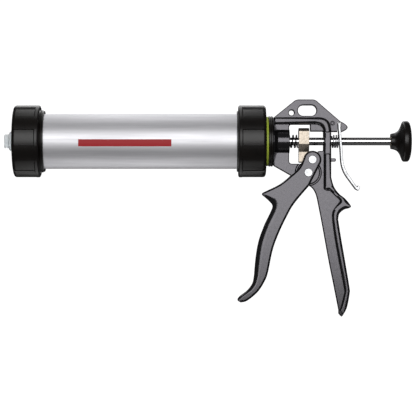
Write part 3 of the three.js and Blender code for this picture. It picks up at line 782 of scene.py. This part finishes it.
def push_pin_sweep():
    """The room that the push pin's boss sweeps through as the trigger is squeezed."""
    arm = math.hypot(PUSH[0] - PIVOT[0], PUSH[1] - PIVOT[1])
    reach = 4.9
    spare = math.asin(reach / arm)
    start = math.atan2(PUSH[1] - PIVOT[1], PUSH[0] - PIVOT[0]) - spare
    end = start + TRIGGER_TRAVEL + 2 * spare
    outline = arc(*PIVOT, arm + reach, start, end) + arc(*PIVOT, arm - reach, end, start)
    return plate("sweep", [outline], WEB + CUT_PAST, 0.01, 0)


def make_casting():
    """The frame casting: a web with a rib, flange, rod guide and peg, then its bores, slots and grooves."""
    window = soften([
        [16.1, WINDOW_TOP, 3], [37, WINDOW_TOP, 1], [37, 9.7, 1], [STRUT_FRONT - 0.2, 9.7, 1],
        [STRUT_FRONT - 0.2, WINDOW_STEP, 1], [44.4, WINDOW_STEP, 2], [44.4, WINDOW_LOW, 2],
        [16.1, WINDOW_LOW, 3]])
    hanging_slot = oblong(34.1, 30.7, 18.5, 10.5)
    hanging_hole = circle(18.4, 28.4, 2.6)
    web = plate("casting", [web_outline(), hanging_slot, hanging_hole, window], WEB, WEB_BEVEL, 5)
    outline = rib_outline()
    rib = pillow("rib", outline, RIB, [rib_edge(point) for point in outline], RIB_DROP, 8)
    flange = lathe("flange", [
        [-26, 0], [-26, 14, 1], [0, 14], [0, FLANGE_R, 0.5], [0.7, FLANGE_R, 0.5], [4, NECK_R, 1.4],
        [16.5, NECK_R, 0.9], [16.5, 0]], 128, closed=False)
    front, back = STRUT_FRONT + 0.5, STRUT_BACK - 0.4
    guide = plate("guide", [soften([
        [front, GUIDE_LOW, 0.9], [back, GUIDE_LOW, 0.9], [back, GUIDE_TOP, 0.9], [front, GUIDE_TOP, 0.9]])],
        GUIDE_WIDTH, 1.6)
    peg = plate("peg", [soften([[56, -16.9], [63, -16.9, 1.6], [63, -20.3, 1.6], [56, -20.3]])], 6, 0.7)
    web = combine(web, [rib, flange, guide, peg], "UNION")
    sweep = push_pin_sweep()
    lever_slot = block(64.2, 68.1, WEB + CUT_PAST, 0, 19)
    cuts = [lever_slot, shaft(-27, 60, BORE_R), shaft(9, 17.5, BUSH_SEAT_R), sweep]
    cuts.append(shaft_across(*PIVOT, -WEB, WEB, PIVOT_BORE_R))
    cuts += groove(*PIVOT, WEB / 2 + 0.1, 12.1, 1.5)
    cuts += groove(59.3, 18, WEB / 2 + 0.1, 1.7, 0.7)
    stands_for(combine(web, cuts, "DIFFERENCE"), "frame_casting")


# ---------- trigger, pins, dog and lever ----------

TRIGGER_FRONT = [(25.9, -26.4), (16.7, -35), (6.5, -43), (-8.8, -50.5)]
FINGER_TOP = (-9.6, -54.6)
FINGER_EDGE = [
    (-3.6, -59.8), (-0.4, -64.4), (-2.2, -70.5), (-8.6, -83.8), (-14.3, -99.8), (-17.2, -115.9),
    (-18.9, -134.3)]
TRIGGER_TOE = [(-20.6, -142.2), (-25.8, -149.2), (-33.2, -154.9), (-35.4, -158.6), (-32.4, -160.8)]
TRIGGER_BACK = [
    (-25.8, -159), (-15.4, -150.4), (-8.6, -140), (-5.1, -130.8), (-0.5, -109), (5.2, -92.9),
    (13.3, -75.7), (21.3, -61.9), (36.2, -44.2)]
CURVE_STEPS = 8
TRIGGER_WIDTH = 20
TRIGGER_HEAD_R = 9
FORK_GAP = 10.8
FORK_DEPTH_R = 23
PIN_BORE_R = 3.15
PIN_SEAT_R = 4.8
SEAT_FACE = 9
EDGE_NARROW = 2.3
EDGE_BROADER = 4.0


def finger_edge(index, start, end):
    """The trigger's rounded edge: broad along the fingers, narrow at the head and behind."""
    inside = min(index - start, end - index) / 10
    return EDGE_NARROW + EDGE_BROADER * min(1, max(0, inside))


def make_trigger():
    """The forked trigger, with its pins' bores and seats and the room for the casting."""
    points = arc(*PUSH, TRIGGER_HEAD_R, -0.6, math.pi * 0.93, 32)
    points += through(TRIGGER_FRONT, CURVE_STEPS, points[-1])
    points += bent(TRIGGER_FRONT[-1], (-12.8, -52.4), FINGER_TOP, CURVE_STEPS)
    start = len(points)
    points += through(FINGER_EDGE, CURVE_STEPS, FINGER_TOP)
    points += through(TRIGGER_TOE, CURVE_STEPS, FINGER_EDGE[-1])
    end = len(points) - 3 * CURVE_STEPS
    points += through(TRIGGER_BACK, CURVE_STEPS, TRIGGER_TOE[-1])
    edges = [finger_edge(i, start, end) for i in range(len(points))]
    body = pillow("squeeze_trigger", points, TRIGGER_WIDTH, edges, 3.6)
    cuts = [shaft_across(*PIVOT, -FORK_GAP / 2, FORK_GAP / 2, FORK_DEPTH_R, 96)]
    past = TRIGGER_WIDTH / 2 + 2
    for pin in (PIVOT, PUSH):
        cuts.append(shaft_across(*pin, -past, past, PIN_BORE_R))
        cuts.append(shaft_across(*pin, -past, -SEAT_FACE, PIN_SEAT_R))
        cuts.append(shaft_across(*pin, SEAT_FACE, past, PIN_SEAT_R))
    stands_for(combine(body, cuts, "DIFFERENCE"), "trigger")


PIN_HALF = 10.5
PIN_R = 3
PIN_HEAD_R = 4.2
PIN_HEAD_BACK = 9.2


def make_pins():
    """The two rivets, each with a low round head on the near side."""
    for name, at in (("pivot", PIVOT), ("push", PUSH)):
        pin = lathe(name + "_rivet", [
            [-PIN_HALF, 0], [-PIN_HALF, PIN_HEAD_R - 0.3, 0.3], [-PIN_HALF + 0.3, PIN_HEAD_R, 0.3],
            [-PIN_HEAD_BACK, PIN_HEAD_R, 0.2], [-PIN_HEAD_BACK, PIN_R], [PIN_HALF, PIN_R, 0.6], [PIN_HALF, 0]],
            64, closed=False)
        stands_for(turn_across(pin, *at), name + "_pin")


DOG_BORE_R = 4.2


def make_dog():
    """The drive dog: a chamfered block round the rod with a narrower foot between the trigger's cheeks."""
    x0, x1 = span("drive_dog")
    section = soften([
        [-9, 10.2, 0.9], [-9, -3.3, 0.9], [-4, -10.3, 0.7], [-4, -21.3, 1.2], [4, -21.3, 1.2], [4, -10.3, 0.7],
        [9, -3.3, 0.9], [9, 10.2, 0.9], [5, 13.2, 0.9], [-5, 13.2, 0.9]], steps=3)
    rows = [(x0, 0.5), (x0 + 0.15, 0.15), (x0 + 0.5, 0), (x1 - 0.5, 0), (x1 - 0.15, 0.15), (x1, 0.5)]
    centre = Vector((0, -3))
    verts = []
    for x, inset in rows:
        for p in section:
            q = p + (centre - p).normalized() * inset
            verts.append(place((x, q.x, q.y)))
    faces = end_faces(len(section), len(verts)) + walls(len(section), len(rows))
    dog = combine(new_object("grip_dog", verts, faces), [shaft(x0 - 1, x1 + 1, DOG_BORE_R)], "DIFFERENCE")
    stands_for(dog, "drive_dog")


SPRING_MEAN_R = 6.1


def make_springs():
    """The two springs round the rod."""
    x0, x1 = span("return_spring")
    spring = coil("return_coil", x0, x1, SPRING_MEAN_R, 0.75, 4.5)
    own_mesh(stands_for(spring, "return_spring", weighted=False))
    x0, x1 = span("lever_spring")
    spring = coil("lever_coil", x0, x1, SPRING_MEAN_R, 0.7, 3)
    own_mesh(stands_for(spring, "lever_spring", weighted=False))


LEVER_WIDTH = 16
LEVER_HALF = 1.1
LEVER_HOLE_R = 4.75


def make_lever():
    """The bent release lever with its turned-up tip."""
    half = LEVER_HALF
    front = [
        [65.6 - half, 18.3, 0.5], [67.9 - half, -7, 6], [69 - half, -28.4, 10], [83.2 - half * 0.8, -48, 0.6]]
    tip = [[85.2, -49.4, 0.7], [87, -45.2, 0.8], [84.6, -44, 0.8], [83.9, -46, 0.8]]
    back = [[69.1 + half, -26.5, 10], [68 + half, -7, 6], [65.6 + half, 18.3, 0.5]]
    blade = plate("thumb_lever", [soften(front + tip + back, steps=8)], LEVER_WIDTH, 0.5, 4)
    stands_for(combine(blade, [shaft(60, 76, LEVER_HOLE_R)], "DIFFERENCE"), "release_lever")


# ---------- plunger ----------

def make_rod():
    x0, x1 = span("plunger_rod")
    r = radius("plunger_rod")
    profile = [[x0, 0], [x0, r, 0.7], [x1, r, 0.7], [x1, 0]]
    stands_for(lathe("push_rod", profile, 64, closed=False), "plunger_rod")


KNOB_BORE_DEPTH = 14


def make_knob():
    """The turned pull knob, bored for its insert."""
    x0, x1 = span("knob")
    r = radius("knob")
    shape = through([
        (x0 + 0.9, 7.8), (x0 + 4.5, 8.7), (x0 + 7.5, 10.8), (x0 + 9.5, 14), (x0 + 10.8, 17.2),
        (x0 + 11.8, r - 0.9), (x0 + 13.2, r), (x0 + 16.4, r), (x0 + 17.8, r - 0.6), (x0 + 19, r - 2.4),
        (x0 + 20, r - 6), (x0 + 20.6, r - 10.5), (x0 + 20.9, r - 15)], 5)
    insert = radius("knob_insert")
    bore = [[x0 + KNOB_BORE_DEPTH, 0], [x0 + KNOB_BORE_DEPTH, insert], [x0, insert, 0.3], [x0, 7.6, 0.5]]
    profile = bore + [[p.x, p.y] for p in shape] + [[x1, 0]]
    stands_for(lathe("pull_knob", profile, 96, closed=False), "knob")


make_tube()
make_cap("front_ring_nut", "front_cap", True, FRONT_HOLE_R)
make_cap("rear_ring_nut", "rear_cap", False, ADAPTER_R)
make_nozzle()
make_swivel()
make_casting()
make_trigger()
make_pins()
make_dog()
make_springs()
make_lever()
make_rod()
make_knob()

# The pieces inside keep their CAD shape with softened edges and their own finish.
KEPT_EDGE = 0.15
KEPT_EDGE_ANGLE = 40
KEPT = [
    "front_gasket", "rear_gasket", "swivel_washer", "retaining_nut", "front_rod_bush", "rear_rod_bush",
    "pivot_bush", "piston_nut", "piston_disc", "piston_cup", "piston_backing", "piston_back_nut", "knob_insert",
    "pivot_pin_clip", "push_pin_clip",
]
for node in KEPT:
    piece = frame["nodes"][node]
    piece.data.materials.clear()
    piece.data.materials.append(FINISH[SLOT_OF[node]])
    edge = piece.modifiers.new("soft edges", "BEVEL")
    edge.width = KEPT_EDGE * MM
    edge.segments = 2
    edge.limit_method = "ANGLE"
    edge.angle_limit = math.radians(KEPT_EDGE_ANGLE)


# ---------- stage, light and camera ----------

# Metres, and the sensor in millimetres.
CAMERA_DISTANCE = 2.0
VIEW_WIDTH = 0.416
SENSOR = 36
FLOOR_DROP = 0.75
STAGE_REACH = 4.5
STAGE_CORNER = 0.8
STAGE_TOP = 3.2
STAGE_SIDES = 64
CORNER_STEPS = 16
PALE = (0.85, 0.85, 0.85)
WORLD_GREY = (0.5, 0.5, 0.5, 1)
WORLD_STRENGTH = 0.14


def make_camera():
    """A long lens square on to the gun's near side."""
    camera = bpy.data.cameras.new("camera")
    camera.sensor_width = SENSOR
    camera.lens = SENSOR * CAMERA_DISTANCE / VIEW_WIDTH
    camera.clip_end = 50
    holder = bpy.data.objects.new("camera", camera)
    holder.location = (0, -CAMERA_DISTANCE, 0)
    holder.rotation_euler = (math.radians(90), 0, 0)
    bpy.context.scene.collection.objects.link(holder)
    bpy.context.scene.camera = holder


def stage_material(name, colour, glow):
    """A matt pale surface that glows, so the ground stays even."""
    m = Nodes(name).set(Roughness=0.9)
    m.colour(m.noise(3), colour, tuple(c * 0.99 for c in colour))
    m.shader.inputs["Emission Color"].default_value = (1, 1, 1, 1)
    m.shader.inputs["Emission Strength"].default_value = glow
    return m.material


def make_stage():
    """A pale round floor that curves up into a pale wall and dome; it shows in no reflection."""
    low = cad_bounds[0][2] - FLOOR_DROP
    flat = STAGE_REACH - STAGE_CORNER
    section = [Vector((0, low))]
    for k in range(CORNER_STEPS + 1):
        turn = math.pi / 2 * k / CORNER_STEPS
        out, up = math.sin(turn), 1 - math.cos(turn)
        section.append(Vector((flat + STAGE_CORNER * out, low + STAGE_CORNER * up)))
    section += [Vector((STAGE_REACH, STAGE_TOP)), Vector((0, STAGE_TOP + 1))]
    around = STAGE_SIDES
    verts = [(0, 0, low)]
    for p in section[1:-1]:
        for k in range(around):
            turn = 2 * math.pi * k / around
            verts.append((p.x * math.cos(turn), p.x * math.sin(turn), p.y))
    verts.append((0, 0, STAGE_TOP + 1))
    faces = []
    for k in range(around):
        n = (k + 1) % around
        faces.append([0, 1 + k, 1 + n])
        for row in range(len(section) - 3):
            a = 1 + row * around
            faces.append([a + k, a + around + k, a + around + n, a + n])
        last = 1 + (len(section) - 3) * around
        faces.append([last + k, len(verts) - 1, last + n])
    mesh = bpy.data.meshes.new("floor")
    mesh.from_pydata(verts, [], faces)
    for polygon in mesh.polygons:
        polygon.use_smooth = True
    floor = bpy.data.objects.new("floor", mesh)
    bpy.context.scene.collection.objects.link(floor)
    mesh.materials.append(stage_material("pale floor", PALE, 1.0))
    floor.visible_glossy = False
    floor.visible_diffuse = False
    floor.visible_shadow = False


def soft_light(name, place_at, aim, width, height, power):
    """A rectangular softbox aimed at a point; metres and watts."""
    light = bpy.data.lights.new(name, "AREA")
    light.shape = "RECTANGLE"
    light.size = width
    light.size_y = height
    light.energy = power
    holder = bpy.data.objects.new(name, light)
    holder.location = place_at
    holder.rotation_euler = (Vector(aim) - Vector(place_at)).to_track_quat("-Z", "Y").to_euler()
    bpy.context.scene.collection.objects.link(holder)


def make_lights():
    """Two softboxes, two edge lights and a faint grey world."""
    soft_light("front softbox", (0, -2.2, 0.55), (0, 0, 0), 1.9, 1.5, 30)
    soft_light("edge light above", (-0.1, 0.3, 0.75), (-0.1, 0, 0), 0.36, 0.95, 1.5)
    soft_light("edge light below", (-0.1, 0.12, -0.6), (-0.1, 0, 0), 0.34, 0.8, 0.95)
    soft_light("back softbox", (0, 2.2, 1.1), (0, 0, 0), 1.8, 0.8, 7)
    world = bpy.data.worlds.new("studio")
    world.use_nodes = True
    background = world.node_tree.nodes["Background"]
    background.inputs["Color"].default_value = WORLD_GREY
    background.inputs["Strength"].default_value = WORLD_STRENGTH
    bpy.context.scene.world = world
    bpy.context.scene.view_settings.view_transform = "Standard"


make_camera()
make_stage()
make_lights()
